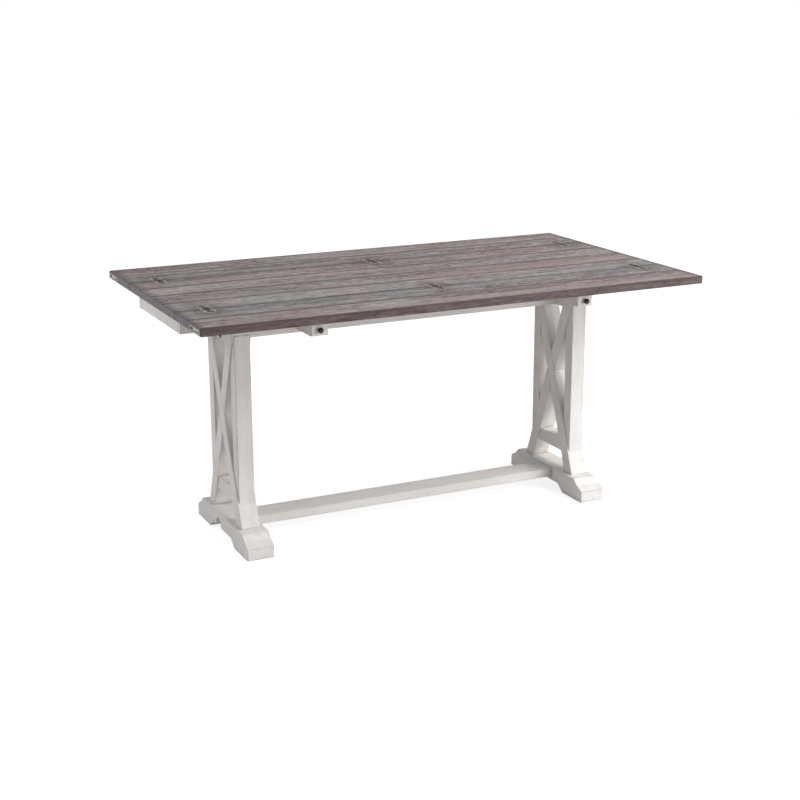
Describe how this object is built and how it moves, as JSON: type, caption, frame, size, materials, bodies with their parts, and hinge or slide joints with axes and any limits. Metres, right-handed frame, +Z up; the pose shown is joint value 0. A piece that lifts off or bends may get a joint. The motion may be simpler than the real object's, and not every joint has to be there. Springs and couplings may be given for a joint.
{
  "type": "flip-top console table",
  "caption": "Console table whose two hinged leaves fold inwards onto a fixed centre panel and rest on pull-out slides when open, on crossed-arm leg frames with sled feet and a floor stretcher.",
  "frame": {"origin": "on the floor under the middle of the table", "axes": "+X along the length of the table to the right of a person at the front, -Y to the front, +Z up"},
  "size_m": [1.6256, 0.9144, 0.7747],
  "materials": {
    "weathered_top": "wire-brushed boards with a grey-mauve stain, darker at the edges, matt lacquer",
    "antique_white": "antique white paint, lightly rubbed back to grey at the edges and joints",
    "bare_wood": "plain planed wood, unfinished",
    "hinge_steel": "antiqued steel, dull",
    "dark_bronze": "dark bronze, satin",
    "plated_steel": "zinc-plated",
    "nylon": "moulded nylon, matt"
  },
  "bodies": {
    "frame": {"centre_panel": "weathered_top", "fixed_hinge_plates": "hinge_steel", "fixed_hinge_pins": "dark_bronze", "fixed_hinge_screws": "dark_bronze", "front_rail": "antique_white", "back_rail": "antique_white", "left_end_rail": "antique_white", "right_end_rail": "antique_white", "corner_blocks": "bare_wood", "left_bearer": "bare_wood", "right_bearer": "bare_wood", "top_screws": "plated_steel", "left_slide_guides": "bare_wood", "right_slide_guides": "bare_wood", "left_back_leaning_arm": "antique_white", "left_front_leaning_arm": "antique_white", "left_front_post": "antique_white", "left_back_post": "antique_white", "left_upper_leg_rail": "antique_white", "left_lower_leg_rail": "antique_white", "left_foot": "antique_white", "right_back_leaning_arm": "antique_white", "right_front_leaning_arm": "antique_white", "right_front_post": "antique_white", "right_back_post": "antique_white", "right_upper_leg_rail": "antique_white", "right_lower_leg_rail": "antique_white", "right_foot": "antique_white", "upper_beam": "antique_white", "stretcher": "antique_white", "beam_bolts": "dark_bronze", "stretcher_bolts": "dark_bronze", "barrel_nuts": "plated_steel", "leg_bolts": "plated_steel", "floor_glides": "nylon"},
    "front_links": {"front_hinge_links": "dark_bronze"},
    "back_links": {"back_hinge_links": "dark_bronze"},
    "front_leaf_body": {"front_leaf": "weathered_top", "front_hinge_plates": "hinge_steel", "front_hinge_pins": "dark_bronze", "front_hinge_screws": "dark_bronze", "front_leaf_catches": "hinge_steel"},
    "back_leaf_body": {"back_leaf": "weathered_top", "back_hinge_plates": "hinge_steel", "back_hinge_pins": "dark_bronze", "back_hinge_screws": "dark_bronze", "back_leaf_catches": "hinge_steel"},
    "front_left_slide_body": {"front_left_slide": "antique_white", "front_left_knob": "dark_bronze", "front_left_stop": "bare_wood"},
    "front_right_slide_body": {"front_right_slide": "antique_white", "front_right_knob": "dark_bronze", "front_right_stop": "bare_wood"},
    "back_left_slide_body": {"back_left_slide": "antique_white", "back_left_knob": "dark_bronze", "back_left_stop": "bare_wood"},
    "back_right_slide_body": {"back_right_slide": "antique_white", "back_right_knob": "dark_bronze", "back_right_stop": "bare_wood"}
  },
  "joints": [
    {"name": "front_leaf_fold", "type": "hinge", "parent": "front_links", "child": "front_leaf_body", "pos_m": [0, -0.23315, 0.7707], "axis": [-1, 0, 0], "range_deg": [0, 90]},
    {"name": "front_link_turn", "type": "hinge", "parent": "frame", "child": "front_links", "pos_m": [0, -0.22485, 0.7707], "axis": [-1, 0, 0], "range_deg": [0, 90]},
    {"name": "back_leaf_fold", "type": "hinge", "parent": "back_links", "child": "back_leaf_body", "pos_m": [0, 0.23315, 0.7707], "axis": [1, 0, 0], "range_deg": [0, 90]},
    {"name": "back_link_turn", "type": "hinge", "parent": "frame", "child": "back_links", "pos_m": [0, 0.22485, 0.7707], "axis": [1, 0, 0], "range_deg": [0, 90]},
    {"name": "front_left_slide_in", "type": "slide", "parent": "frame", "child": "front_left_slide_body", "axis": [0, 1, 0], "range_m": [0, 0.217]},
    {"name": "front_right_slide_in", "type": "slide", "parent": "frame", "child": "front_right_slide_body", "axis": [0, 1, 0], "range_m": [0, 0.217]},
    {"name": "back_left_slide_in", "type": "slide", "parent": "frame", "child": "back_left_slide_body", "axis": [0, -1, 0], "range_m": [0, 0.217]},
    {"name": "back_right_slide_in", "type": "slide", "parent": "frame", "child": "back_right_slide_body", "axis": [0, -1, 0], "range_m": [0, 0.217]}
  ],
  "couplings": [
    {"joint": "front_link_turn", "follows": "front_leaf_fold", "ratio": 1},
    {"joint": "back_link_turn", "follows": "back_leaf_fold", "ratio": 1}
  ]
}
